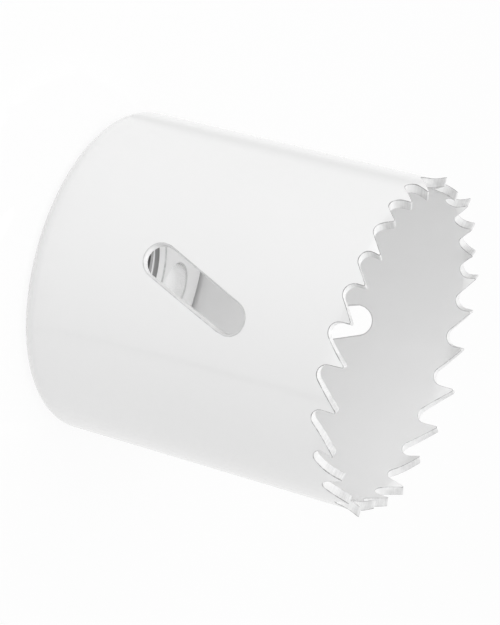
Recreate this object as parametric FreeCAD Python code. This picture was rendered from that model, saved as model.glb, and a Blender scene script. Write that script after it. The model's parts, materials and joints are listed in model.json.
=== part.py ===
import FreeCAD, Part
import math
import os

# Hole saw: a steel strip rolled into a tube, with a milled rim of teeth tipped in hard steel, and a thick
# plate welded into its back. The back plate carries the threaded bore and the drive-pin holes.
# The saw stands on its back: the origin is the centre of the back face, +Z runs along the axis to the teeth.

# Driving dimensions, in millimetres and degrees

# Shell, the rolled strip
shell_d = 42.6
wall = 1.2
overall_length = 44.0
back_edge_radius = 2.5

# Back plate, pressed into the shell and welded to its end
plate_thickness = 4.5
weld_leg = 1.6

# Threaded bore of 5/8 in with 18 turns to the inch, cut at the thread's major diameter
thread_d = 15.875
thread_chamfer = 0.6

# Drive-pin holes on a circle about the bore
pin_hole_count = 2
pin_circle_d = 25.4
pin_hole_d = 6.5
pin_chamfer = 0.2

# Ejection slots, round-ended and slanted, punched through the shell
slot_count = 2
slot_width = 4.2
slot_centre_distance = 11.6
slot_slant = 23.0
slot_middle_height = 23.1

# Teeth: the cutting face looks towards increasing angle, the back slopes up to the tip behind it
tooth_count = 26
cutting_face_angle = 2.0
tooth_back_angle = 38.5
gullet_radius = 1.3
tip_land = 0.3

# Teeth are bent out, bent in and left straight in turn
tooth_set = 0.6
set_cycle = (1, -1, 0)
bend_share_of_depth = 0.85

# Hard steel is left at the tips only, down to the strip's weld line
hard_tip_height = 1.5

# Angles about the axis: the first slot and a drive-pin hole lie on the same side
slot_angle = -90.0
first_tooth_angle = 189.0

# The pitch runs from wide to narrow and back three times round the rim. Its second and third wave make
# the wide stretches unlike each other, so that no two of them meet the work in step.
# Each wave is (waves round the rim, reach in degrees, angle of its start).
pitch_waves = ((3, 2.3, 188.0), (2, 1.0, 271.0), (1, 1.8, 18.0))

# How far a cutting shape runs past the faces that it cuts
overrun = 1.5

# Sizes that follow from the driving ones
shell_r = shell_d / 2
bore_r = shell_r - wall
ring_height = 4 * hard_tip_height


def at_angle(shape, angle):
    """Return the shape turned about the saw's axis."""
    turned = shape.copy()
    turned.rotate(FreeCAD.Vector(0, 0, 0), FreeCAD.Vector(0, 0, 1), angle)
    return turned


def tube(outer_r, inner_r, low, high):
    """Return a tube between two heights."""
    outer = Part.makeCylinder(outer_r, high - low, FreeCAD.Vector(0, 0, low))
    inner = Part.makeCylinder(inner_r, high - low, FreeCAD.Vector(0, 0, low))
    return outer.cut(inner)


def revolved(points, start_angle, sweep):
    """Return the closed outline of (radius, height) points swept about the axis."""
    outline = Part.makePolygon([FreeCAD.Vector(r, 0, z) for r, z in points + points[:1]])
    face = at_angle(Part.Face(outline), start_angle)
    return face.revolve(FreeCAD.Vector(0, 0, 0), FreeCAD.Vector(0, 0, 1), sweep)


def rounded_envelope():
    """Return the solid outer form of the cup, with its rounded back edge."""
    form = Part.makeCylinder(shell_r, overall_length)
    back_edges = [edge for edge in form.Edges if edge.Closed and edge.CenterOfMass.z < overall_length / 2]
    return form.makeFillet(back_edge_radius, back_edges)


def hole(diameter, chamfer, length):
    """Return the cutting form of a through hole with both its mouths chamfered."""
    radius = diameter / 2
    drill = Part.makeCylinder(radius, length + 2 * overrun, FreeCAD.Vector(0, 0, -overrun))
    low_mouth = Part.makeCone(radius + chamfer, radius, chamfer)
    high_mouth = Part.makeCone(radius, radius + chamfer, chamfer, FreeCAD.Vector(0, 0, length - chamfer))
    return drill.fuse([low_mouth, high_mouth])


def back_plate():
    """Return the disc with its threaded bore and drive-pin holes."""
    plate = Part.makeCylinder(bore_r, plate_thickness).common(rounded_envelope())
    plate = plate.cut(hole(thread_d, thread_chamfer, plate_thickness))
    pin_hole = hole(pin_hole_d, pin_chamfer, plate_thickness)
    pin_hole.translate(FreeCAD.Vector(pin_circle_d / 2, 0, 0))
    for k in range(pin_hole_count):
        plate = plate.cut(at_angle(pin_hole, slot_angle + 360 * k / pin_hole_count))
    return plate


def weld_bead():
    """Return the ring of weld that fills the corner between the plate's rim and the shell's end."""
    return tube(shell_r, bore_r, 0, weld_leg).common(rounded_envelope())


def tooth_angle(k):
    """Return the angle of tip k: even steps, moved by the waves of the variable pitch."""
    even = first_tooth_angle + 360 * k / tooth_count
    return even + sum(reach * math.sin(math.radians(waves * (even - start)))
                      for waves, reach, start in pitch_waves)


def gullet_outline(pitch):
    """Return the milled outline between two tips, on the strip laid flat, and where its bottom lies.

    The outline starts at the tip (0, 0), follows the cutting face down, the round bottom and the next
    tooth's back up to (pitch - tip_land, 0). The round is tangent to both straight stretches, so a wider
    pitch gives a deeper gullet.
    """
    face = math.radians(cutting_face_angle)
    back = math.radians(tooth_back_angle)
    width = pitch - tip_land
    centre_h = gullet_radius * (1 + math.sin(back) / math.cos(face)) - width * math.sin(back)
    centre_h /= math.cos(back) - math.sin(back) * math.tan(face)
    centre_s = (gullet_radius + centre_h * math.sin(face)) / math.cos(face)
    start = math.pi - face
    end = 1.5 * math.pi + back
    steps = 8
    turns = [start + (end - start) * i / steps for i in range(steps + 1)]
    bottom = [(centre_s + gullet_radius * math.cos(a), centre_h + gullet_radius * math.sin(a)) for a in turns]
    return bottom, width, centre_s, gullet_radius - centre_h


def gullet_cutter(k):
    """Return the radial form that mills the gullet between tips k and k + 1."""
    start = tooth_angle(k)
    pitch = math.radians(tooth_angle(k + 1) - start) * shell_r
    bottom, width, _, _ = gullet_outline(pitch)
    middle = pitch / 2 / shell_r

    def wire(x):
        """Return the outline on the flat plane at distance x from the axis."""
        def point(s, h):
            return FreeCAD.Vector(x, x * math.tan(s / shell_r - middle), overall_length + h)
        round_bottom = Part.BSplineCurve()
        round_bottom.interpolate([point(s, h) for s, h in bottom])
        rim = [point(width, 0), point(width, overrun), point(0, overrun), point(0, 0)]
        ends = [point(*bottom[-1])] + rim + [point(*bottom[0])]
        straight = [Part.makeLine(a, b) for a, b in zip(ends, ends[1:])]
        return Part.Wire([round_bottom.toShape()] + straight)

    cutter = Part.makeLoft([wire(bore_r - overrun), wire(shell_r + overrun)], True, True)
    return at_angle(cutter, start + math.degrees(middle))


def rim_sector(k):
    """Return the stretch of rim that holds tooth k, from one gullet's bottom to the next, bent by its set."""
    before = math.radians(tooth_angle(k) - tooth_angle(k - 1)) * shell_r
    after = math.radians(tooth_angle(k + 1) - tooth_angle(k)) * shell_r
    _, _, bottom_before, depth_before = gullet_outline(before)
    _, _, bottom_after, depth_after = gullet_outline(after)
    start = tooth_angle(k - 1) + math.degrees(bottom_before / shell_r)
    end = tooth_angle(k) + math.degrees(bottom_after / shell_r)
    low = overall_length - ring_height
    bend = overall_length - bend_share_of_depth * min(depth_before, depth_after)
    shift = tooth_set * set_cycle[k % len(set_cycle)]
    profile = [(bore_r, low), (shell_r, low), (shell_r, bend), (shell_r + shift, overall_length),
               (bore_r + shift, overall_length), (bore_r, bend)]
    return revolved(profile, start, end - start)


def toothed_strip():
    """Return the whole rolled strip with its teeth, before its hard tips are told from its body."""
    plain = tube(shell_r, bore_r, weld_leg, overall_length - ring_height).common(rounded_envelope())
    sectors = [rim_sector(k) for k in range(tooth_count)]
    strip = plain.multiFuse(sectors)
    for k in range(tooth_count):
        strip = strip.cut(gullet_cutter(k))
    return strip.cut(slot_cutters()).removeSplitter()


def slot_cutters():
    """Return the punched forms of the slots: round-ended, slanted against the axis."""
    half = slot_centre_distance / 2
    radius = slot_width / 2
    depth = wall + 2 * overrun
    near = bore_r - overrun
    along = FreeCAD.Vector(1, 0, 0)
    bar = Part.makeBox(depth, slot_width, slot_centre_distance, FreeCAD.Vector(near, -radius, -half))
    ends = [Part.makeCylinder(radius, depth, FreeCAD.Vector(near, 0, z), along) for z in (-half, half)]
    punch = bar.fuse(ends).removeSplitter()
    punch.rotate(FreeCAD.Vector(0, 0, 0), along, -slot_slant)
    punch.translate(FreeCAD.Vector(0, 0, slot_middle_height))
    return [at_angle(punch, slot_angle + 360 * k / slot_count) for k in range(slot_count)]


def hard_band():
    """Return the space above the strip's weld line."""
    reach = shell_r + tooth_set + overrun
    low = overall_length - hard_tip_height
    return Part.makeCylinder(reach, hard_tip_height + overrun, FreeCAD.Vector(0, 0, low))


os.makedirs("parts", exist_ok=True)
strip = toothed_strip()
pieces = {
    "toothed_shell": strip.cut(hard_band()),
    "cutting_tips": Part.makeCompound(strip.common(hard_band()).Solids),
    "back_plate": back_plate(),
    "weld_bead": weld_bead(),
}
for name, shape in pieces.items():
    shape.exportStep(f"parts/{name}.step")
    print(name, "solids", len(shape.Solids), "valid", shape.isValid(), "volume", round(shape.Volume, 2))
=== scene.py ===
# %% [markdown]
# # A bi-metal hole saw
# The saw is a steel strip with a milled row of teeth, rolled into a tube and welded shut, with a thick plate
# welded into its back. It is painted white all over, and then its teeth are ground, so bare steel shows only
# on the cut faces of the tips. This notebook first loads the exact construction model. Everything made here
# is measured in metres in that model's own frame: the saw stands on its back, +Z runs up to the teeth, and
# the origin is the centre of the back face.

# %% The frame, the libraries and the CAD box
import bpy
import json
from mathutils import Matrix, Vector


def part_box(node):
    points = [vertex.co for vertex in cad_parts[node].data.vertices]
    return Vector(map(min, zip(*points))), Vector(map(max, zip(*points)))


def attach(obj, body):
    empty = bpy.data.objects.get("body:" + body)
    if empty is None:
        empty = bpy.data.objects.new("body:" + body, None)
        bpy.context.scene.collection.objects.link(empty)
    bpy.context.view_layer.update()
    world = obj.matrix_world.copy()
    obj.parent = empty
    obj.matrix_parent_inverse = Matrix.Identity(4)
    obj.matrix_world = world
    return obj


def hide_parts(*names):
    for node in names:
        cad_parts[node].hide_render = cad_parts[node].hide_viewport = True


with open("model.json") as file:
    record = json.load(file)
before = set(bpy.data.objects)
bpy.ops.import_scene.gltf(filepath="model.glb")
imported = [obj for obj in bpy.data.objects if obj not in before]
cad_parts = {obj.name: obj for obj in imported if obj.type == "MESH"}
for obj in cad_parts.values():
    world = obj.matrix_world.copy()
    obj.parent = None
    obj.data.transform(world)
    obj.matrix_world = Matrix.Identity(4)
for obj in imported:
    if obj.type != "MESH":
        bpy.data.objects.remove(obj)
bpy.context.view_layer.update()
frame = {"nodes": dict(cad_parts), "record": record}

import json
import math

import bmesh
import bpy
import numpy as np
from mathutils import Matrix, Vector

print("construction nodes:", ", ".join(sorted(frame["nodes"])))

# %% [markdown]
# ## Sizes
# What fits or meets another piece takes its size from the frame: the saw's length, the plate's thickness, and
# the thread and pin holes from the record's mounts. The strip's own sizes are the ones it was drawn with.
# rim_turn is one turn measured along the strip. The back is flat out to flat_r, and then follows a quarter
# round, of which the plate's share is plate_edge_turn.

# %% Sizes of the saw
MM = 0.001
mounts = {mount["name"]: mount for mount in frame["record"]["mounts"]}
thread_mount = mounts["arbor_thread"]["dims"]
pin_mount = mounts["drive_pin_holes"]["dims"]

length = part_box("cutting_tips")[1][2]
plate_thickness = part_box("back_plate")[1][2]
inner_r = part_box("back_plate")[1][0]
wall = 1.2 * MM
shell_r = inner_r + wall
rim_turn = 2 * math.pi * shell_r
back_edge_radius = 2.5 * MM
flat_r = shell_r - back_edge_radius
plate_edge_turn = math.asin((inner_r - flat_r) / back_edge_radius)
weld_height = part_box("weld_bead")[1][2]

thread_r = thread_mount["r_mm"] * MM
thread_chamfer = (plate_thickness - thread_mount["length_mm"] * MM) / 2
turns_per_inch = 18
pin_circle_r = pin_mount["pcd_mm"] / 2 * MM
pin_hole_r = pin_mount["hole_r_mm"] * MM
pin_chamfer = 0.2 * MM
print(f"shell radius {shell_r / MM:.2f} mm, length {length / MM:.2f} mm")
print(f"thread radius {thread_r / MM:.3f} mm, plate {plate_thickness / MM:.2f} mm thick")

# %% Sizes of the slots and the teeth
slot_angles = np.radians([-90.0, 90.0])
slot_middle_height = 23.1 * MM
slot_half_length = 5.8 * MM
slot_half_width = 2.1 * MM
slot_slant = math.radians(23.0)

tooth_count = 26
first_tooth_angle = 189.0
pitch_waves = ((3, 2.3, 188.0), (2, 1.0, 271.0), (1, 1.8, 18.0))
cutting_face_angle = math.radians(2.0)
tooth_back_angle = math.radians(38.5)
gullet_radius = 1.3 * MM
tip_land = 0.3 * MM
hard_tip_height = 1.5 * MM
weld_line_z = length - hard_tip_height
tooth_set = 0.6 * MM
set_cycle = (1, -1, 0)
bend_share_of_depth = 0.85
bend_softness = 0.6
print(f"{tooth_count} teeth and {len(slot_angles)} slots, hard steel from {weld_line_z / MM:.1f} mm up")

# %% [markdown]
# ## How every surface is made
# A mesh here is a patchwork. Each patch is a grid of points worked out by a formula of two parameters, and
# neighbouring patches are given the same points along their shared border. Welding the borders at the end
# closes the skin. Boolean cuts would be quicker to write, but they leave long thin triangles that shade
# badly under gloss paint. A grid follows the form, and takes a small bevel along its edges for free.

# %% A patchwork of grids
class Patchwork:
    """Collects grids of points, then welds them into one closed mesh."""

    def __init__(self):
        self.points = []
        self.faces = []
        self.slots = []
        self.count = 0

    def add(self, grid, wrap=False, flip=False, slot=0, keep=None):
        """Add a (rows, columns, 3) grid.

        Each cell joins points (i, j), (i, j+1), (i+1, j+1), (i+1, j). wrap joins the last column to the
        first, flip turns the faces round, and keep is a mask of the cells that are wanted.
        """
        rows, columns = grid.shape[:2]
        i, j = np.meshgrid(np.arange(rows - 1), np.arange(columns if wrap else columns - 1), indexing="ij")
        right = (j + 1) % columns
        cells = np.stack([i * columns + j, i * columns + right, (i + 1) * columns + right,
                          (i + 1) * columns + j], axis=-1)
        cells = cells.reshape(-1, 4) if keep is None else cells[keep]
        if flip:
            cells = cells[:, ::-1]
        self.points.append(grid.reshape(-1, 3))
        self.faces.append(cells + self.count)
        self.slots.append(np.full(len(cells), slot))
        self.count += rows * columns

    def build(self, name, materials, sharp_degrees=38.0):
        """Weld the patches, drop what collapsed to nothing, point the faces outwards and smooth them."""
        points = np.concatenate(self.points)
        faces = np.concatenate(self.faces)
        mesh = bpy.data.meshes.new(name)
        mesh.from_pydata(points, [], faces)
        mesh.polygons.foreach_set("material_index", np.concatenate(self.slots))
        for material in materials:
            mesh.materials.append(material)
        weld = bmesh.new()
        weld.from_mesh(mesh)
        bmesh.ops.remove_doubles(weld, verts=weld.verts, dist=0.0005 * MM)
        bmesh.ops.dissolve_degenerate(weld, edges=weld.edges, dist=0.0005 * MM)
        bmesh.ops.recalc_face_normals(weld, faces=weld.faces)
        open_edges = sum(1 for edge in weld.edges if len(edge.link_faces) != 2)
        weld.to_mesh(mesh)
        weld.free()
        mesh.polygons.foreach_set("use_smooth", np.ones(len(mesh.polygons), bool))
        mesh.set_sharp_from_angle(angle=math.radians(sharp_degrees))
        piece = bpy.data.objects.new(name, mesh)
        bpy.context.scene.collection.objects.link(piece)
        triangles = sum(len(face.vertices) - 2 for face in mesh.polygons)
        print(f"{name}: {triangles} triangles, {open_edges} open edges")
        return piece


# %% [markdown]
# ## Edges that hold paint
# No painted edge is a knife edge. An edge profile says how the skin turns from one face, across the wall's
# thickness, to the other: each entry is how far the point lies in from the cut outline, and how deep below
# the outer face. A Bevel modifier would round the edges too, but three short steps at each side do it here
# without moving the borders that other patches are welded to, and each step can have its own finish.

# %% The profile of an edge
bevel_steps = 3


def edge_profile(bevel, thickness):
    """Return (inset, depth) pairs: a quarter round of the bevel's radius at each side of a flat cut."""
    turn = np.radians(np.linspace(0.0, 90.0, bevel_steps + 1))
    inset = bevel * (1 - np.sin(turn))
    depth = bevel * (1 - np.cos(turn))
    middle = [(0.0, thickness / 2)]
    near = list(zip(inset, depth))
    far = [(a, thickness - b) for a, b in reversed(near)]
    return near + middle + far


def rim_slot(step, steps):
    """Return the material slot of one step across the rim: outer bevel 2, inner bevel 3, cut between 1."""
    if step < bevel_steps:
        return 2
    return 3 if step >= steps - bevel_steps else 1


# %% [markdown]
# ## The teeth on the flat strip
# The row of teeth is easiest to draw before the strip is rolled. Along it runs s, and h is the height from
# the tips, below zero in a gullet. Every gullet is the same cutter's work: a nearly upright cutting face, a
# round bottom, and a straight back that climbs to the next tip. Only the pitch changes, in waves round the
# rim, so a wide gap is also a deep one. A variable pitch keeps the saw from ringing. One tooth repeated by an
# Array modifier could have only one pitch, so the outline is a function of the pitch.

# %% Where the tips stand
def tooth_angle(k):
    """Return the angle of tip k: even steps, moved by the three waves of the pitch."""
    even = first_tooth_angle + 360.0 * k / tooth_count
    moves = [reach * np.sin(np.radians(waves * (even - start))) for waves, reach, start in pitch_waves]
    return np.radians(even + sum(moves))


tip_angles = tooth_angle(np.arange(tooth_count + 1))
pitches = np.diff(tip_angles) * shell_r
print("pitch from %.2f to %.2f mm" % (pitches.min() / MM, pitches.max() / MM))


# %% One gullet
tip_round = 0.16 * MM
corner_steps = 12
arc_points = 160
side_points = 80


def corner_arc(before, corner, after):
    """Return points of the arc that rounds a corner between two straight lines.

    The arc's centre lies on the line that halves the corner. Its points turn evenly about that centre.
    """
    to_before = (before - corner) / np.linalg.norm(before - corner)
    to_after = (after - corner) / np.linalg.norm(after - corner)
    half = math.acos(float(to_before @ to_after)) / 2
    middle = (to_before + to_after) / np.linalg.norm(to_before + to_after)
    centre = corner + middle * tip_round / math.sin(half)
    first = corner + to_before * tip_round / math.tan(half) - centre
    last = corner + to_after * tip_round / math.tan(half) - centre
    sweep = math.pi - 2 * half
    t = np.linspace(0.0, 1.0, corner_steps + 1)[:, None]
    return centre + (first * np.sin((1 - t) * sweep) + last * np.sin(t * sweep)) / math.sin(sweep)


def gullet_curve(pitch):
    """Return a gullet's outline as three stretches of dense (s, h) points, and its depth.

    The stretches are the worn corner at the top of the cutting face, the gullet with its two straight
    sides, and the worn corner at the top of the back. s starts at the tip.
    """
    face, back, radius = cutting_face_angle, tooth_back_angle, gullet_radius
    width = pitch - tip_land
    centre_h = radius * (1 + math.sin(back) / math.cos(face)) - width * math.sin(back)
    centre_h /= math.cos(back) - math.sin(back) * math.tan(face)
    centre_s = (radius + centre_h * math.sin(face)) / math.cos(face)
    turn = np.linspace(math.pi - face, 1.5 * math.pi + back, arc_points)
    arc = np.stack([centre_s + radius * np.cos(turn), centre_h + radius * np.sin(turn)], axis=1)
    land_start, tip = np.array([-tip_land / 2, 0.0]), np.array([0.0, 0.0])
    back_top, land_middle = np.array([width, 0.0]), np.array([pitch - tip_land / 2, 0.0])
    tip_corner = corner_arc(land_start, tip, arc[0])
    back_corner = corner_arc(arc[-1], back_top, land_middle)
    line = np.linspace(0.0, 1.0, side_points)[:, None]
    down = tip_corner[-1:] * (1 - line) + arc[:1] * line
    up = arc[-1:] * (1 - line) + back_corner[:1] * line
    gullet = np.concatenate([down[:-1], arc, up[1:]])
    return (tip_corner, gullet, back_corner), radius - centre_h


# %% [markdown]
# Each gap between two tips gets the same number of columns, so that the whole rim is one regular grid. The
# columns are dealt out so that one of them meets the outline exactly where it crosses the weld line between
# the hard tips and the softer strip, once on the way down and once on the way up. Lower down on the strip the
# columns are spread evenly. There they start a little behind the gap that they lead to, so that they reach
# its upright cutting face from inside the tooth. From the gap's side they would cross each other.

# %% Columns along the outline
columns_corner, columns_down, columns_round, columns_up, columns_back = 5, 4, 13, 6, 4
gap_columns = columns_corner + columns_down + columns_round + columns_up + columns_back
first_crossing = columns_corner + columns_down
second_crossing = first_crossing + columns_round


def run_along(curve):
    """Return the length run to each point of a dense curve: the sum of its steps so far."""
    return np.concatenate([[0.0], np.cumsum(np.hypot(*np.diff(curve, axis=0).T))])


def gap_points(pitch):
    """Return one gap's column points, from the land of one tip towards the next."""
    (corner, gullet, back_corner), depth = gullet_curve(pitch)
    run = run_along(gullet)
    lowest = int(np.argmin(gullet[:, 1]))
    cross_down = np.interp(hard_tip_height, -gullet[:lowest, 1], run[:lowest])
    cross_up = np.interp(-hard_tip_height, gullet[lowest:, 1], run[lowest:])
    stops = np.concatenate([
        np.linspace(0.0, cross_down, columns_down, endpoint=False) + cross_down / columns_down * 0.5,
        np.linspace(cross_down, cross_up, columns_round, endpoint=False),
        np.linspace(cross_up, run[-1], columns_up, endpoint=False)])
    gullet_points = np.stack([np.interp(stops, run, gullet[:, axis]) for axis in (0, 1)], axis=1)
    corner_points = corner[::corner_steps // (columns_corner - 1)]
    back_points = back_corner[::corner_steps // (columns_back - 1)]
    points = np.concatenate([corner_points, gullet_points, back_points])
    return points[:, 0], points[:, 1], depth


gaps = [gap_points(pitch) for pitch in pitches]
column_count = tooth_count * gap_columns
rim_s = np.concatenate([tip_angles[k] * shell_r + gaps[k][0] for k in range(tooth_count)])
rim_h = np.concatenate([gap[1] for gap in gaps])
depths = np.array([gap[2] for gap in gaps])
column_number = np.arange(gap_columns)
even_s = np.concatenate([tip_angles[k] * shell_r - tip_land / 2 + pitches[k] * column_number / gap_columns
                         for k in range(tooth_count)])
column_lead = first_crossing + 4
even_s = np.roll(even_s, column_lead)
even_s[:column_lead] -= rim_turn
print(f"{column_count} columns round the rim")
print(f"gullets {depths.min() / MM:.2f} to {depths.max() / MM:.2f} mm deep")

# %% Which tooth a column belongs to, and how far that tooth is bent
place = np.tile(np.arange(gap_columns), tooth_count)
gap_of = np.repeat(np.arange(tooth_count), gap_columns)
half_way = first_crossing + columns_round // 2
tooth_of = np.where(place <= half_way, gap_of, (gap_of + 1) % tooth_count)
bend_height = bend_share_of_depth * np.minimum(depths, np.roll(depths, 1))
tooth_shift = tooth_set * np.array([set_cycle[k % len(set_cycle)] for k in range(tooth_count)])
cross_down_columns = np.flatnonzero(place == first_crossing)
cross_up_columns = np.flatnonzero(place == second_crossing)


# %% [markdown]
# ## Rolling the strip
# Rolling turns the distance s into an angle and the depth into a radius. The set of the teeth comes in the
# same step: above its bend line a tooth leans out, or in, in proportion to the height, and every third tooth
# stays straight. The butt weld of the tube shows as a faint raised band. A Simple Deform modifier can bend a
# flat mesh too, but a formula puts each point exactly where the next piece needs it.

# %% The map from flat strip to tube
seam_s = (tip_angles[-1] + tip_angles[-2]) / 2 * shell_r
seam_height = 0.03 * MM
seam_reach = 0.7 * MM
seam_end = length - 5 * MM
seam_fade = 2 * MM


def polar(angle, radius, z):
    """Return points from an angle, a radius and a height: (radius cos angle, radius sin angle, z)."""
    x, y = radius * np.cos(angle), radius * np.sin(angle)
    return np.stack([x, y, z + np.zeros_like(x)], axis=-1)


def roll(s, z, depth, tooth=None):
    """Return points of the tube: angle s / radius, radius less depth, plus the lean of the tooth.

    The seam adds a bell-shaped ridge on both faces, which fades out below the teeth.
    """
    radius = shell_r - depth + np.zeros(np.broadcast(s, z).shape)
    if tooth is not None:
        rise = np.clip(1 + (z - length) / bend_height[tooth], 0.0, 1.0)
        eased = (np.sqrt(rise ** 2 + bend_softness ** 2) - bend_softness)
        eased = eased / (math.sqrt(1 + bend_softness ** 2) - bend_softness)
        radius = radius + tooth_shift[tooth] * eased
    from_seam = (s - seam_s + rim_turn / 2) % rim_turn - rim_turn / 2
    seam = seam_height * np.exp(-(from_seam / seam_reach) ** 2)
    outwards = 1 if depth < wall / 2 else -1
    radius = radius + seam * outwards * np.clip((seam_end - z) / seam_fade, 0, 1)
    return polar(s / shell_r, radius, z)


# %% Insetting the outline for the bevel
def inset_outline(amount):
    """Return the rim outline moved into the steel by an amount, as (s, z).

    Each point moves along the mitre of its two neighbouring edges. A point on the weld line slides along
    that line instead, so that tip and strip still meet there.
    """
    before = np.stack([rim_s - np.roll(rim_s, 1), rim_h - np.roll(rim_h, 1)], axis=1)
    before[0, 0] += rim_turn
    after = np.roll(before, -1, axis=0)
    normals = [np.stack([step[:, 1], -step[:, 0]], axis=1) / np.hypot(*step.T)[:, None]
               for step in (before, after)]
    mitre = (normals[0] + normals[1]) / (1 + np.sum(normals[0] * normals[1], axis=1))[:, None]
    s = rim_s + amount * mitre[:, 0]
    z = length + rim_h + amount * mitre[:, 1]
    crossings = np.concatenate([cross_down_columns, cross_up_columns])
    slide = 1 / (normals[0] + normals[1])[crossings, 0] * 2
    s[crossings] = rim_s[crossings] + amount * slide
    z[crossings] = weld_line_z
    return s, z


def weld_line(amount):
    """Return the strip's upper border for the columns of each tooth: even steps along the weld line.

    The columns run from where the outline comes up through the line to where it goes down again.
    """
    s, _ = inset_outline(amount)
    columns = gap_columns - columns_round
    start = cross_up_columns
    end = np.roll(cross_down_columns, -1)
    end_s = s[end] + np.where(end < start, rim_turn, 0.0)
    t = np.linspace(0.0, 1.0, columns + 1)[None]
    index = (start[:, None] + np.arange(columns + 1)) % column_count
    return index, s[start][:, None] * (1 - t) + end_s[:, None] * t


def shell_border(amount):
    """Return the strip's whole upper border: gullets at their outline, teeth cut level at the weld line."""
    s, z = inset_outline(amount)
    index, line = weld_line(amount)
    s[index] = np.where(index < index[:, :1], line - rim_turn, line)
    z[index] = weld_line_z
    return s, z


# %% [markdown]
# ## Paint, bare steel and thread
# The paint is a bright white gloss enamel. On the real saw it is nearly even: what the eye finds is a soft
# unevenness of the gloss, where the spray lay thicker, a very slight orange peel, and a thin dark line along
# each cut edge. Bare steel on the tips is brushed across the wall by the grinding wheel.
# Painted images could carry all this, but they blur close up and need the mesh unwrapped. Noise nodes that
# read the piece's own coordinates stay sharp and run on unbroken from one patch to the next.

# %% Helpers for node materials
def node_tools(tree):
    """Clear a node tree, and return the functions that add and join nodes in it."""
    tree.nodes.clear()

    def node(kind, **values):
        made = tree.nodes.new(kind)
        for key, value in values.items():
            if key in made.inputs:
                made.inputs[key].default_value = value
            else:
                setattr(made, key, value)
        return made

    def join(source, output, target, socket):
        tree.links.new(source.outputs[output], target.inputs[socket])

    return node, join


def new_material(name):
    """Return a material with an empty node tree, and the functions that fill it."""
    material = bpy.data.materials.new(name)
    material.use_nodes = True
    return (material, *node_tools(material.node_tree))


def finish_shader(node, join, **sockets):
    """Return a Principled shader joined to the material's output, with its constant sockets set."""
    shader = node("ShaderNodeBsdfPrincipled")
    for key, value in sockets.items():
        shader.inputs[key.replace("_", " ")].default_value = value
    output = node("ShaderNodeOutputMaterial")
    join(shader, "BSDF", output, "Surface")
    return shader


def tone_ramp(node, stops):
    """Return a colour ramp of grey or coloured stops, each (position, colour)."""
    ramp = node("ShaderNodeValToRGB")
    ramp.color_ramp.elements[0].position = stops[0][0]
    ramp.color_ramp.elements[0].color = (*stops[0][1], 1.0)
    ramp.color_ramp.elements[1].position = stops[-1][0]
    ramp.color_ramp.elements[1].color = (*stops[-1][1], 1.0)
    for position, colour in stops[1:-1]:
        ramp.color_ramp.elements.new(position).color = (*colour, 1.0)
    return ramp


# %% White gloss enamel
def make_enamel():
    """Return the paint: white, slightly uneven in tone and gloss, with a faint orange peel."""
    material, node, join = new_material("white_enamel")
    shader = finish_shader(node, join, IOR=1.45, Coat_Weight=0.5, Coat_Roughness=0.04)
    place = node("ShaderNodeTexCoord")
    cloud = node("ShaderNodeTexNoise", Scale=60.0, Detail=2.0, Roughness=0.5)
    join(place, "Object", cloud, "Vector")
    tone = tone_ramp(node, [(0.0, (0.920, 0.920, 0.920)), (1.0, (0.940, 0.940, 0.939))])
    join(cloud, "Fac", tone, "Fac")
    join(tone, "Color", shader, "Base Color")
    gloss = node("ShaderNodeMapRange")
    gloss.inputs["To Min"].default_value = 0.16
    gloss.inputs["To Max"].default_value = 0.24
    join(cloud, "Fac", gloss, "Value")
    join(gloss, "Result", shader, "Roughness")
    peel = node("ShaderNodeTexNoise", Scale=1400.0, Detail=2.0, Roughness=0.4)
    join(place, "Object", peel, "Vector")
    bump = node("ShaderNodeBump", Strength=0.04, Distance=0.02 * MM)
    join(peel, "Fac", bump, "Height")
    join(bump, "Normal", shader, "Normal")
    return material


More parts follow.
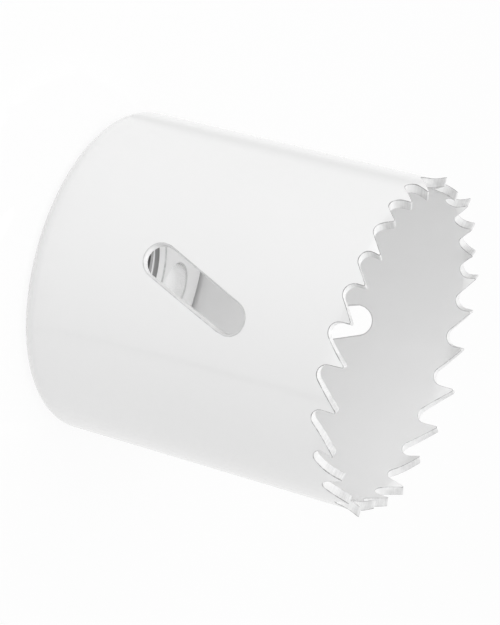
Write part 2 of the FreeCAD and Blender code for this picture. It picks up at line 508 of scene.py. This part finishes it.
# %% Brushed steel that follows the rim
def make_cut_steel(name, tones, roughness, metallic, patchy=0.45, tip_tones=None, relief=0.25, ior=1.8):
    """Return steel with grinding marks that run across the wall.

    The marks are noise over the angle round the axis and the height. The radius is left out, so a mark
    keeps its tone right across a cut face. patchy is the share of the tone that comes from wider patches.
    tones are the darkest and lightest grey. tip_tones, if given, take over softly above the weld line.
    relief is the strength of the marks' bump, and ior the refractive index.
    """
    material, node, join = new_material(name)
    shader = finish_shader(node, join, Metallic=metallic, IOR=ior)
    place = node("ShaderNodeTexCoord")
    split = node("ShaderNodeSeparateXYZ")
    join(place, "Object", split, "Vector")
    angle = node("ShaderNodeMath", operation="ARCTAN2")
    join(split, "Y", angle, 0)
    join(split, "X", angle, 1)
    arc = node("ShaderNodeMath", operation="MULTIPLY")
    arc.inputs[1].default_value = shell_r
    join(angle, "Value", arc, 0)
    flat = node("ShaderNodeCombineXYZ")
    join(arc, "Value", flat, "X")
    join(split, "Z", flat, "Y")
    marks = node("ShaderNodeTexNoise", Scale=9000.0, Detail=4.0, Roughness=0.65)
    join(flat, "Vector", marks, "Vector")
    patches = node("ShaderNodeTexNoise", Scale=1100.0, Detail=3.0, Roughness=0.6)
    join(place, "Object", patches, "Vector")
    blend = node("ShaderNodeMix", data_type="FLOAT", Factor=patchy)
    join(marks, "Fac", blend, 2)
    join(patches, "Fac", blend, 3)
    ramps = [tone_ramp(node, [(0.32, [darkest] * 3), (0.68, [lightest] * 3)])
             for darkest, lightest in (tones, tip_tones or tones)]
    height = node("ShaderNodeMapRange")
    height.inputs["From Min"].default_value = weld_line_z - 0.6 * MM
    height.inputs["From Max"].default_value = weld_line_z + 0.7 * MM
    join(split, "Z", height, "Value")
    tone = node("ShaderNodeMix", data_type="RGBA")
    join(height, "Result", tone, 0)
    for ramp, socket in zip(ramps, (6, 7)):
        join(blend, "Result", ramp, "Fac")
        join(ramp, "Color", tone, socket)
    join(tone, 2, shader, "Base Color")
    rough = node("ShaderNodeMapRange")
    rough.inputs["To Min"].default_value = roughness - 0.08
    rough.inputs["To Max"].default_value = roughness + 0.12
    join(blend, "Result", rough, "Value")
    join(rough, "Result", shader, "Roughness")
    bump = node("ShaderNodeBump", Strength=relief, Distance=0.01 * MM)
    join(marks, "Fac", bump, "Height")
    join(bump, "Normal", shader, "Normal")
    return material


# %% The thread, painted with bands of light and shade
crest_r = 7.17 * MM


def make_thread_painted_bands():
    """Return the thread's steel: the tone follows the distance from the axis.

    The bands are painted light and shade: light crests, flanks dark as painted shade, and roots light as
    painted light against the shade deep in the grooves.
    """
    material, node, join = new_material("thread_painted_light_and_shade")
    shader = finish_shader(node, join, Metallic=0.1, Roughness=0.4, IOR=1.6)
    place = node("ShaderNodeTexCoord")
    level = node("ShaderNodeVectorMath", operation="MULTIPLY")
    level.inputs[1].default_value = (1.0, 1.0, 0.0)
    join(place, "Object", level, 0)
    radius = node("ShaderNodeVectorMath", operation="LENGTH")
    join(level, "Vector", radius, 0)
    share = node("ShaderNodeMapRange")
    share.inputs["From Min"].default_value = crest_r
    share.inputs["From Max"].default_value = thread_r
    join(radius, "Value", share, "Value")
    # Light crests, dark flanks and light roots: painted light and shade in bands.
    painted_band_greys = [(0.0, 0.92), (0.16, 0.92), (0.28, 0.28), (0.78, 0.22), (0.86, 0.90), (1.0, 0.90)]
    tone = tone_ramp(node, [(position, [grey] * 3) for position, grey in painted_band_greys])
    join(share, "Result", tone, "Fac")
    join(tone, "Color", shader, "Base Color")
    return material


# %% The finishes of this saw
enamel = make_enamel()
cut_steel = make_cut_steel("milled_steel", (0.78, 0.90), 0.5, 0.05, tip_tones=(0.56, 0.88))
# Thin lines along the edges: dark on the outer bevel of the cut rim, grey on its inner bevel.
outer_edge_line = make_cut_steel("dark_outer_edge_line", (0.10, 0.70), 0.45, 0.1, 0.85)
inner_edge_line = make_cut_steel("grey_inner_edge_line", (0.30, 0.80), 0.4, 0.0, 0.7)
# A grey line round the slots. The same grey is painted shade at the inner mouth of the bore and on the
# pin-hole chamfers.
grey_line_and_painted_shade = make_cut_steel("grey_edge_line_and_painted_shade", (0.42, 0.80), 0.3, 0.0, 0.5)
# The dark joint round the plate, darkened further as painted shade.
dark_joint_and_painted_shade = make_cut_steel("dark_joint_and_painted_shade", (0.12, 0.24), 0.6, 0.0, ior=1.35)
reamed_steel = make_cut_steel("reamed_hole", (0.88, 0.95), 0.2, 0.85, relief=0.05)
slot_steel = make_cut_steel("punched_slot", (0.70, 0.80), 0.55, 0.0, ior=1.35)
# The thread's steel carries painted light and shade in bands.
thread_painted_bands = make_thread_painted_bands()
finishes = (enamel, cut_steel, outer_edge_line, inner_edge_line, grey_line_and_painted_shade, dark_joint_and_painted_shade, reamed_steel, slot_steel,
            thread_painted_bands)
print("materials:", ", ".join(finish.name for finish in finishes))

# %% [markdown]
# ## The shell
# The shell is three things in one skin: an outer and an inner face, the cut edge along the gullets, and the
# two slots. The faces are grids of columns and rows. Where a slot lies, a window of cells is left out, and a
# ring of cells walks from the window's square border in to the slot's round one. The cells of that ring get
# narrower towards the slot, because the bevel there needs small neighbours to shade well.

# %% Rows of the shell
cut_bevel = 0.08 * MM
band_bottom = length - 6.0 * MM
band_steps = 9
body_steps = 33
end_steps = 5
body_rows = np.linspace(band_bottom, back_edge_radius, body_steps + 1)


def back_edge_radius_at(z):
    """Return the outer radius at a height: the shell's own, or less where the back edge is rounded."""
    below = np.clip(back_edge_radius - z, 0.0, back_edge_radius)
    return flat_r + np.sqrt(back_edge_radius ** 2 - below ** 2)


# %% The slot's outline
def slot_outline(s, z, centre_s, grow):
    """Return where the ray from the slot's centre through each point (s, z) meets the slot's outline.

    The outline is every point at one radius from the slanted middle line. grow adds to that radius. The
    ray's length is found by halving: inside the outline is nearer to the middle line than the radius.
    """
    along = np.array([math.sin(slot_slant), math.cos(slot_slant)])
    offset = np.stack([s - centre_s, z - slot_middle_height], axis=-1)
    ray = offset / np.linalg.norm(offset, axis=-1, keepdims=True)
    near, far = np.zeros(len(ray)), np.full(len(ray), 2 * slot_half_length)
    for _ in range(50):
        middle = (near + far) / 2
        point = ray * middle[:, None]
        nearest = np.clip(point @ along, -slot_half_length, slot_half_length)
        distance = np.linalg.norm(point - nearest[:, None] * along, axis=1)
        outside = distance > slot_half_width + grow
        far = np.where(outside, middle, far)
        near = np.where(outside, near, middle)
    point = ray * near[:, None]
    return point[:, 0] + centre_s, point[:, 1] + slot_middle_height


# %% Windows in the body for the slots
window_half_s = 5.4 * MM
window_half_z = 8.6 * MM
body_z, body_s = np.meshgrid(body_rows, even_s, indexing="ij")


def slot_centre(angle):
    """Return a slot's place along the unrolled rim, on the turn that the columns cover."""
    return (angle + 2 * math.pi * np.ceil((tip_angles[0] - angle) / (2 * math.pi))) * shell_r


def window_range(angle):
    """Return the first and last column and row of the window that is left out round a slot."""
    inside_s = np.flatnonzero(np.abs(even_s - slot_centre(angle)) < window_half_s)
    inside_z = np.flatnonzero(np.abs(body_rows - slot_middle_height) < window_half_z)
    return inside_s[0], inside_s[-1], inside_z[0], inside_z[-1]


def border_walk(first_column, last_column, first_row, last_row):
    """Return the rows and columns of the grid points round a window, in order, the start not repeated."""
    across = np.arange(first_column, last_column + 1)
    down = np.arange(first_row, last_row + 1)
    rows = np.concatenate([np.full(len(across), first_row), down[1:], np.full(len(across) - 1, last_row),
                           down[::-1][1:-1]])
    columns = np.concatenate([across, np.full(len(down) - 1, last_column), across[::-1][1:],
                              np.full(len(down) - 2, first_column)])
    return rows, columns


# %% Building the shell
slot_bevel = 0.22 * MM
ring_rows = np.linspace(0.0, 1.0, 8)[:, None] ** 1.4


def build_shell():
    """Return the painted shell, with its gullets, slots and weld lines."""
    skin = Patchwork()
    keep = np.ones((len(body_rows) - 1, column_count), bool)
    slots = []
    for angle in slot_angles:
        first_column, last_column, first_row, last_row = window_range(angle)
        keep[first_row:last_row, first_column:last_column] = False
        at_rows, at_columns = border_walk(first_column, last_column, first_row, last_row)
        slots.append((even_s[at_columns], body_rows[at_rows], slot_centre(angle)))

    border_s, border_z = shell_border(cut_bevel)
    rows = np.linspace(0.0, 1.0, band_steps + 1)[:, None]
    s = even_s * (1 - rows) + border_s * rows
    z = band_bottom * (1 - rows) + border_z * rows
    for depth, flip in ((0.0, False), (wall, True)):
        skin.add(roll(s, z, depth, tooth_of[None]), wrap=True, flip=not flip)
        skin.add(roll(body_s, body_z, depth), wrap=True, flip=flip, keep=keep)
        for outer_s, outer_z, centre in slots:
            hole_s, hole_z = slot_outline(outer_s, outer_z, centre, slot_bevel)
            ring_s = hole_s * (1 - ring_rows) + outer_s * ring_rows
            ring_z = hole_z * (1 - ring_rows) + outer_z * ring_rows
            skin.add(roll(ring_s, ring_z, depth), wrap=True, flip=flip)

    rim = edge_profile(cut_bevel, wall)
    loops = [roll(*shell_border(inset), depth, tooth_of) for inset, depth in rim]
    for step, pair in enumerate(zip(loops, loops[1:])):
        skin.add(np.stack(pair), wrap=True, slot=rim_slot(step, len(rim) - 1))

    profile = edge_profile(slot_bevel, wall)
    grey_line_steps = (0, len(profile) - 3)
    for slot in slots:
        loops = [roll(*slot_outline(*slot, inset), depth) for inset, depth in profile]
        for step, pair in enumerate(zip(loops, loops[1:])):
            skin.add(np.stack(pair), wrap=True, slot=4 if step in grey_line_steps else 5)

    end_z = np.linspace(back_edge_radius, weld_height, end_steps + 1)
    ring = roll(even_s[None], end_z[:, None], 0.0)
    ring[..., :2] *= (back_edge_radius_at(end_z) / shell_r)[:, None, None]
    skin.add(ring, wrap=True)
    inner_end = roll(even_s[None], np.array([[back_edge_radius], [weld_height]]), wall)
    skin.add(inner_end, wrap=True, flip=True)
    skin.add(np.stack([ring[-1], inner_end[-1]]), wrap=True)
    return skin.build("painted_shell", [enamel, cut_steel, outer_edge_line, inner_edge_line, grey_line_and_painted_shade, slot_steel])


shell = build_shell()
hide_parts("toothed_shell")
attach(shell, "root")

# %% [markdown]
# ## The hard tips
# The tips are what milling left of the hard steel edge, a small block on each tooth. They use the shell's
# own columns, so that both meet along the weld line without a gap. The sides of a tip are painted like the
# shell. Its cut faces are bare. One tip copied round the rim would be less work, but on this saw no two gaps
# are alike, so each tip is made from the columns of its own two gaps.

# %% Building the tips
tip_steps = 5


def build_tips():
    """Return the 26 hard tips as one piece: side faces, cut faces and the face on the weld line."""
    skin = Patchwork()
    profile = edge_profile(cut_bevel, wall)

    def loop_pair(inset):
        """Return (s, z) on the weld line and on the outline, for every tooth's own columns."""
        index, line = weld_line(inset)
        s, z = inset_outline(inset)
        wound = np.where(index < index[:, :1], s[index] + rim_turn, s[index])
        return line, np.full_like(line, weld_line_z), wound, z[index]

    side = loop_pair(cut_bevel)
    edges = [(loop_pair(inset), depth) for inset, depth in profile]
    t = np.linspace(0.0, 1.0, tip_steps + 1)[:, None]
    for k in range(tooth_count):
        tooth = np.array([(k + 1) % tooth_count])
        line_s, line_z, out_s, out_z = (part[k] for part in side)
        for depth, flip in ((0.0, False), (wall, True)):
            grid = roll(line_s * (1 - t) + out_s * t, line_z * (1 - t) + out_z * t, depth, tooth)
            skin.add(grid, flip=flip)
        cut, cap = [], []
        for edge, depth in edges:
            line_s, line_z, out_s, out_z = (part[k] for part in edge)
            cut.append(roll(out_s, out_z, depth, tooth))
            cap.append(roll(line_s, line_z, depth, tooth))
        for step in range(len(profile) - 1):
            skin.add(np.stack([cut[step], cut[step + 1]]), slot=rim_slot(step, len(profile) - 1))
            skin.add(np.stack([cap[step], cap[step + 1]]), flip=True)
    return skin.build("hard_tips", [enamel, cut_steel, outer_edge_line, inner_edge_line])


tips = build_tips()
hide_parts("cutting_tips")
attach(tips, "root")

# %% [markdown]
# ## The back plate and its thread
# The plate is a disc seen from both sides. Its bore is the interesting face: a helix. The radius of the bore
# is a function of the angle and the height, because a thread is a groove whose phase moves up one pitch in
# each turn. Where the chamfers at both mouths are wider than the groove, the chamfer wins. A Screw modifier
# would sweep the same groove, but its ends would have to be cut off and joined to the plate's faces by hand.

# %% The bore as a function of angle and height
thread_pitch = 25.4 * MM / turns_per_inch
thread_depth = 5 / 8 * math.cos(math.radians(30)) * thread_pitch
thread_start = 0.04
half_crest_flat = 1 / 8
half_root_flat = 1 / 16
mouth_r = thread_r + thread_chamfer


def thread_radius(angle, z):
    """Return the bore's radius: a 60 degree groove with flats, right-handed, or the chamfer's cone.

    phase is 0 in the middle of a root and 1/2 on the middle of a crest. Between the two flats, whose half
    widths are shares of the pitch, the radius falls evenly with it.
    """
    phase = np.abs((z / thread_pitch - angle / (2 * math.pi) - thread_start) % 1.0 - 0.5)
    ridge = np.clip((phase - half_root_flat) / (1 / 2 - half_crest_flat - half_root_flat), 0.0, 1.0)
    groove = thread_r - thread_depth * ridge
    return np.maximum(groove, np.maximum(mouth_r - z, mouth_r - (plate_thickness - z)))


# %% [markdown]
# Where the plate was pressed in, a narrow dark groove is left between its inner face and the shell. Its faces
# are coloured darker than bare steel, as painted shade in the joint. The two pin holes are rings of cells in
# a window, like the slots. On their chamfers, and at the inner mouth of the bore, a grey band is painted as
# shade. All of it could be cut with Booleans, at the cost of long thin triangles.

# %% Grids of the plate
plate_columns = 216
bore_steps = 72
mouth_steps = 10
painted_shade_mouth_steps = 3
window_steps = 9
window_half_angle = math.radians(21.5)
window_r = 17.2 * MM
outer_ring_r = 18.0 * MM
groove_width = 0.65 * MM
groove_depth = 1.2 * MM
groove_corner = 0.05 * MM
groove_floor = 0.04 * MM


def between(start, end, steps):
    """Return rows that walk in equal steps from one line of points to another: start + (end - start) t."""
    t = np.linspace(0.0, 1.0, steps + 1)[:, None, None]
    return start[None] * (1 - t) + end[None] * t


# %% Building the plate
def build_plate():
    """Return the back plate with its threaded bore and drive-pin holes."""
    skin = Patchwork()
    angle = np.linspace(0.0, 2 * math.pi, plate_columns, endpoint=False)
    heights = np.linspace(0.0, plate_thickness, bore_steps + 1)[:, None]
    bore = polar(angle[None], thread_radius(angle[None], heights), heights)
    skin.add(bore[:mouth_steps + 1], wrap=True)
    skin.add(bore[mouth_steps:-mouth_steps], wrap=True, slot=1)
    skin.add(bore[-mouth_steps - 1:-painted_shade_mouth_steps], wrap=True)
    # The top rows of the bore carry a grey band of painted shade.
    skin.add(bore[-painted_shade_mouth_steps - 1:], wrap=True, slot=3)

    rings = np.append(np.linspace(mouth_r, window_r, window_steps + 1), outer_ring_r)
    front_r = np.append(rings, inner_r - groove_width)
    back_r = np.append(rings, flat_r)
    keep = np.ones((len(rings), plate_columns), bool)
    pins = []
    for pin_angle in slot_angles % (2 * math.pi):
        inside = np.flatnonzero(np.abs(angle - pin_angle) < window_half_angle)
        keep[:window_steps, inside[0]:inside[-1]] = False
        pins.append((pin_angle, *border_walk(inside[0], inside[-1], 0, window_steps)))

    pin_profile = [(pin_chamfer, 0.0), (0.0, pin_chamfer), (0.0, plate_thickness - pin_chamfer),
                   (pin_chamfer, plate_thickness)]
    for radii, z, flip in ((front_r, plate_thickness, False), (back_r, 0.0, True)):
        skin.add(polar(angle[None], radii[:, None], z), wrap=True, flip=flip, keep=keep)
        for pin_angle, at_rows, at_columns in pins:
            outer = polar(angle[at_columns], radii[at_rows], z)
            centre = np.array([pin_circle_r * math.cos(pin_angle), pin_circle_r * math.sin(pin_angle), z])
            ray = outer - centre
            ray /= np.linalg.norm(ray, axis=1)[:, None]
            rim = centre + ray * (pin_hole_r + pin_chamfer)
            skin.add(between(rim, outer, 5), wrap=True, flip=flip)
            if flip:
                loops = []
                for inset, height in pin_profile:
                    level = centre + np.array([0.0, 0.0, height])
                    loops.append(level + ray * (pin_hole_r + inset))
                for step, pair in enumerate(zip(loops, loops[1:])):
                    # The chamfers take the grey band of painted shade, and the wall takes the reamed steel.
                    skin.add(np.stack(pair), wrap=True, slot=4 if step == 1 else 3)

    groove = [(groove_width, 0.0), (groove_width - groove_corner, groove_corner),
              (groove_floor, groove_depth), (0.0, groove_depth)]
    edge_r = np.array([inner_r - inset for inset, _ in groove])
    edge_z = np.array([plate_thickness - drop for _, drop in groove])
    turn = plate_edge_turn * np.linspace(0.0, 1.0, end_steps + 1)
    low_r = flat_r + back_edge_radius * np.sin(turn)
    low_z = back_edge_radius * (1 - np.cos(turn))
    outline_r = np.concatenate([edge_r[-1:], low_r[::-1]])
    outline_z = np.concatenate([edge_z[-1:], low_z[::-1]])
    # The groove's faces are a dark joint, darkened further as painted shade.
    skin.add(polar(angle[None], edge_r[:, None], edge_z[:, None]), wrap=True, slot=2)
    skin.add(polar(angle[None], outline_r[:, None], outline_z[:, None]), wrap=True)
    return skin.build("threaded_plate", [enamel, thread_painted_bands, dark_joint_and_painted_shade, grey_line_and_painted_shade, reamed_steel])


plate = build_plate()
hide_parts("back_plate")
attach(plate, "root")

# %% [markdown]
# ## The weld bead
# The plate's rim and the shell's end are joined by a bead of weld that goes all the way round. It was ground
# to the same round as the back edge, and under the paint the ripples of the welding can only just be seen.
# A bump in the material would show them too, but waves of the surface itself are there in the bare mesh as
# well.

# %% Building the bead
bead_columns = 576
bead_steps = 6
ripple_count = 96
ripple_height = 0.0015 * MM
ripple_bow = 1.5


def build_bead():
    """Return the ring of weld: the back edge's arc between plate and shell, with faint ripples.

    A ripple is a sine round the axis. It fades to nothing at both borders of the bead, and bows ahead in
    the middle.
    """
    skin = Patchwork()
    angle = np.linspace(0.0, 2 * math.pi, bead_columns, endpoint=False)
    end = math.acos(1 - weld_height / back_edge_radius)
    t = np.linspace(0.0, 1.0, bead_steps + 1)[:, None]
    turn = plate_edge_turn + (end - plate_edge_turn) * t
    swell = np.sin(math.pi * t)
    ripple = ripple_height * swell * np.sin(ripple_count * angle[None] + ripple_bow * swell)
    radius = flat_r + (back_edge_radius + ripple) * np.sin(turn)
    z = back_edge_radius - (back_edge_radius + ripple) * np.cos(turn)
    arc = polar(angle[None], radius, z)
    skin.add(arc, wrap=True, flip=True)
    corner = polar(angle[None], np.full((1, len(angle)), inner_r), weld_height)
    skin.add(np.concatenate([arc[-1:], corner, arc[:1]]), wrap=True, flip=True)
    return skin.build("back_weld", [enamel])


bead = build_bead()
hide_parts("weld_bead")
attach(bead, "root")

# %% [markdown]
# ## Camera
# The photograph looks at the side of the saw with its mouth turned slightly towards the camera, and the
# picture is turned so that the saw lies nearly level. Here the saw stands on its back, so it is the camera
# that is rolled. A long lens at a third of a metre keeps the perspective of a product photograph.

# %% The camera
camera_place = Vector((3.2, -292.0, 149.7)) * MM
camera_aim = Vector((0.8, -0.1, 21.8)) * MM
camera_roll = math.radians(105.1)
camera_lens = 143.2

camera_data = bpy.data.cameras.new("photo_camera")
camera_data.lens = camera_lens
camera_data.sensor_width = 36.0
camera_data.clip_start = 0.01
camera = bpy.data.objects.new("photo_camera", camera_data)
bpy.context.scene.collection.objects.link(camera)
bpy.context.scene.camera = camera
forward = (camera_aim - camera_place).normalized()
level_right = forward.cross(Vector((0, 0, 1))).normalized()
level_up = level_right.cross(forward)
right = level_right * math.cos(camera_roll) + level_up * math.sin(camera_roll)
up = level_up * math.cos(camera_roll) - level_right * math.sin(camera_roll)
turned = Matrix((right, up, -forward)).transposed().to_4x4()
camera.matrix_world = Matrix.Translation(camera_place) @ turned
print("camera distance %.1f mm" % ((camera_aim - camera_place).length / MM))

# %% [markdown]
# ## Floor and light
# The photograph is a cut-out on pure white. The floor is white to the camera through the Is Camera Ray
# output, and still takes a pale shadow. More light would whiten it too, but would wash out the paint. The
# gloss paint shows two soft streaks along the tube, which in a studio are the gaps between white cards. Dark
# strips laid on the floor would make them too, but they would be seen and cast shadows. Here the floor's own
# material turns darker in two wedges, for reflections only.

# %% Gaps between the light cards
def card_gap(node, join, base, azimuth, half_width, depth):
    """Return a node whose Result is 1 on the floor, and dips by depth inside a thin wedge.

    The wedge opens from the base point towards the azimuth. Distance across over distance along is 0 on
    its middle line and half_width at its borders.
    """
    place = node("ShaderNodeTexCoord")
    offset = node("ShaderNodeVectorMath", operation="SUBTRACT")
    offset.inputs[1].default_value = (*base, 0.0)
    join(place, "Object", offset, 0)
    along = node("ShaderNodeVectorMath", operation="DOT_PRODUCT")
    along.inputs[1].default_value = (math.cos(azimuth), math.sin(azimuth), 0.0)
    across = node("ShaderNodeVectorMath", operation="DOT_PRODUCT")
    across.inputs[1].default_value = (-math.sin(azimuth), math.cos(azimuth), 0.0)
    ahead = node("ShaderNodeMath", operation="MAXIMUM")
    ahead.inputs[1].default_value = 0.1 * MM
    join(offset, "Vector", along, 0)
    join(offset, "Vector", across, 0)
    join(along, "Value", ahead, 0)
    ratio = node("ShaderNodeMath", operation="DIVIDE")
    join(across, "Value", ratio, 0)
    join(ahead, "Value", ratio, 1)
    size = node("ShaderNodeMath", operation="ABSOLUTE")
    join(ratio, "Value", size, 0)
    dip = node("ShaderNodeMapRange", interpolation_type="SMOOTHSTEP")
    dip.inputs["From Max"].default_value = half_width
    dip.inputs["To Min"].default_value = 1.0 - depth
    join(size, "Value", dip, "Value")
    return dip


# %% What is seen plainly
WHITE = (1.0, 1.0, 1.0, 1.0)
plain_share = 0.92


def plain_rays(node, join):
    """Return the ray node, and a node that is 1 for what the camera or a gloss reflection sees."""
    rays = node("ShaderNodeLightPath")
    either = node("ShaderNodeMath", operation="MAXIMUM")
    join(rays, "Is Camera Ray", either, 0)
    join(rays, "Is Glossy Ray", either, 1)
    return rays, either


# %% The floor
def make_floor_material():
    """Return a white floor: part of what the camera sees is plain white, the rest is lit and shadowed.

    What the gloss paint reflects is this floor. Two gaps between the cards that light it leave the soft
    streaks along the tube.
    """
    material, node, join = new_material("studio_floor")
    paint = node("ShaderNodeBsdfDiffuse", Color=(0.9, 0.9, 0.9, 1.0))
    glow = node("ShaderNodeEmission", Color=WHITE)
    rays, either = plain_rays(node, join)
    back_gap = card_gap(node, join, base=(-19.8 * MM, -7.9 * MM), azimuth=math.radians(133.0),
                        half_width=0.3, depth=0.35)
    front_gap = card_gap(node, join, base=(10.5 * MM, -18.5 * MM), azimuth=math.radians(-41.7),
                         half_width=0.07, depth=0.8)
    gaps = node("ShaderNodeMath", operation="MULTIPLY")
    join(back_gap, "Result", gaps, 0)
    join(front_gap, "Result", gaps, 1)
    strength = node("ShaderNodeMix", data_type="FLOAT")
    strength.inputs[2].default_value = 1.0
    join(rays, "Is Glossy Ray", strength, 0)
    join(gaps, "Value", strength, 3)
    join(strength, 0, glow, "Strength")
    seen = node("ShaderNodeMath", operation="MULTIPLY")
    seen.inputs[1].default_value = plain_share
    join(either, "Value", seen, 0)
    mix = node("ShaderNodeMixShader")
    join(seen, "Value", mix, "Fac")
    join(paint, "BSDF", mix, 1)
    join(glow, "Emission", mix, 2)
    output = node("ShaderNodeOutputMaterial")
    join(mix, "Shader", output, "Surface")
    return material


# %% Laying the floor
floor_half = 3.0
floor_mesh = bpy.data.meshes.new("floor")
floor_corners = [(-floor_half, -floor_half, 0), (floor_half, -floor_half, 0), (floor_half, floor_half, 0),
                 (-floor_half, floor_half, 0)]
floor_mesh.from_pydata(floor_corners, [], [(0, 1, 2, 3)])
floor_mesh.materials.append(make_floor_material())
floor = bpy.data.objects.new("floor", floor_mesh)
bpy.context.scene.collection.objects.link(floor)
print("floor %.0f m wide, white to the camera" % (2 * floor_half))

# %% [markdown]
# ## Room and lamps
# The light is a white room, a soft lamp over the mouth, another at the side, and a narrow beam into the cup,
# which the room alone leaves dark. Their level is one at which the enamel renders about as white as it is
# written. An image of real surroundings could light the saw as well, but a plain white world needs no file.

# %% The room
def make_room(strength):
    """Light the scene evenly from all round, and show plain white to the camera and in reflections."""
    world = bpy.data.worlds.new("white_room")
    world.use_nodes = True
    node, join = node_tools(world.node_tree)
    _, either = plain_rays(node, join)
    light = node("ShaderNodeBackground", Color=WHITE, Strength=strength)
    white = node("ShaderNodeBackground", Color=WHITE, Strength=1.0)
    mix = node("ShaderNodeMixShader")
    join(either, "Value", mix, "Fac")
    join(light, "Background", mix, 1)
    join(white, "Background", mix, 2)
    output = node("ShaderNodeOutputWorld")
    join(mix, "Shader", output, "Surface")
    bpy.context.scene.world = world


# %% The lamps
def hang_lamp(data, place, aim):
    """Put a lamp at a place, aimed at a point. Lengths are in metres.

    What the gloss reflects is the white room, so the lamp itself is left out of reflections.
    """
    lamp = bpy.data.objects.new(data.name, data)
    lamp.location = place
    lamp.visible_glossy = False
    lamp.rotation_euler = (Vector(aim) - Vector(place)).to_track_quat("-Z", "Y").to_euler()
    bpy.context.scene.collection.objects.link(lamp)
    print(f"{data.name}: {data.energy:.2f} W")


def add_lamp(name, place, aim, size, power):
    """Add a square soft lamp."""
    data = bpy.data.lights.new(name, "AREA")
    data.size = size
    data.energy = power
    hang_lamp(data, place, aim)


def add_snoot(name, place, aim, cone, power):
    """Add a lamp with a narrow beam that fills the cup through its mouth and misses the outer wall."""
    data = bpy.data.lights.new(name, "SPOT")
    data.energy = power
    data.spot_size = math.radians(cone)
    data.spot_blend = 0.15
    data.shadow_soft_size = 0.006
    hang_lamp(data, place, aim)


# %% Lighting the saw
middle = (0.0, 0.0, length / 2)
mouth = (0.0, 0.0, length)
make_room(strength=0.695)
add_lamp("mouth_lamp", place=(-0.1, -0.3, 0.76), aim=middle, size=0.35, power=1.5)
add_lamp("side_lamp", place=(-0.7, -0.33, 0.42), aim=middle, size=0.6, power=0.95)
add_snoot("mouth_spot", place=(0.0, 0.3, 0.78), aim=mouth, cone=3.0, power=10.3)

bpy.context.scene.view_settings.view_transform = "Standard"
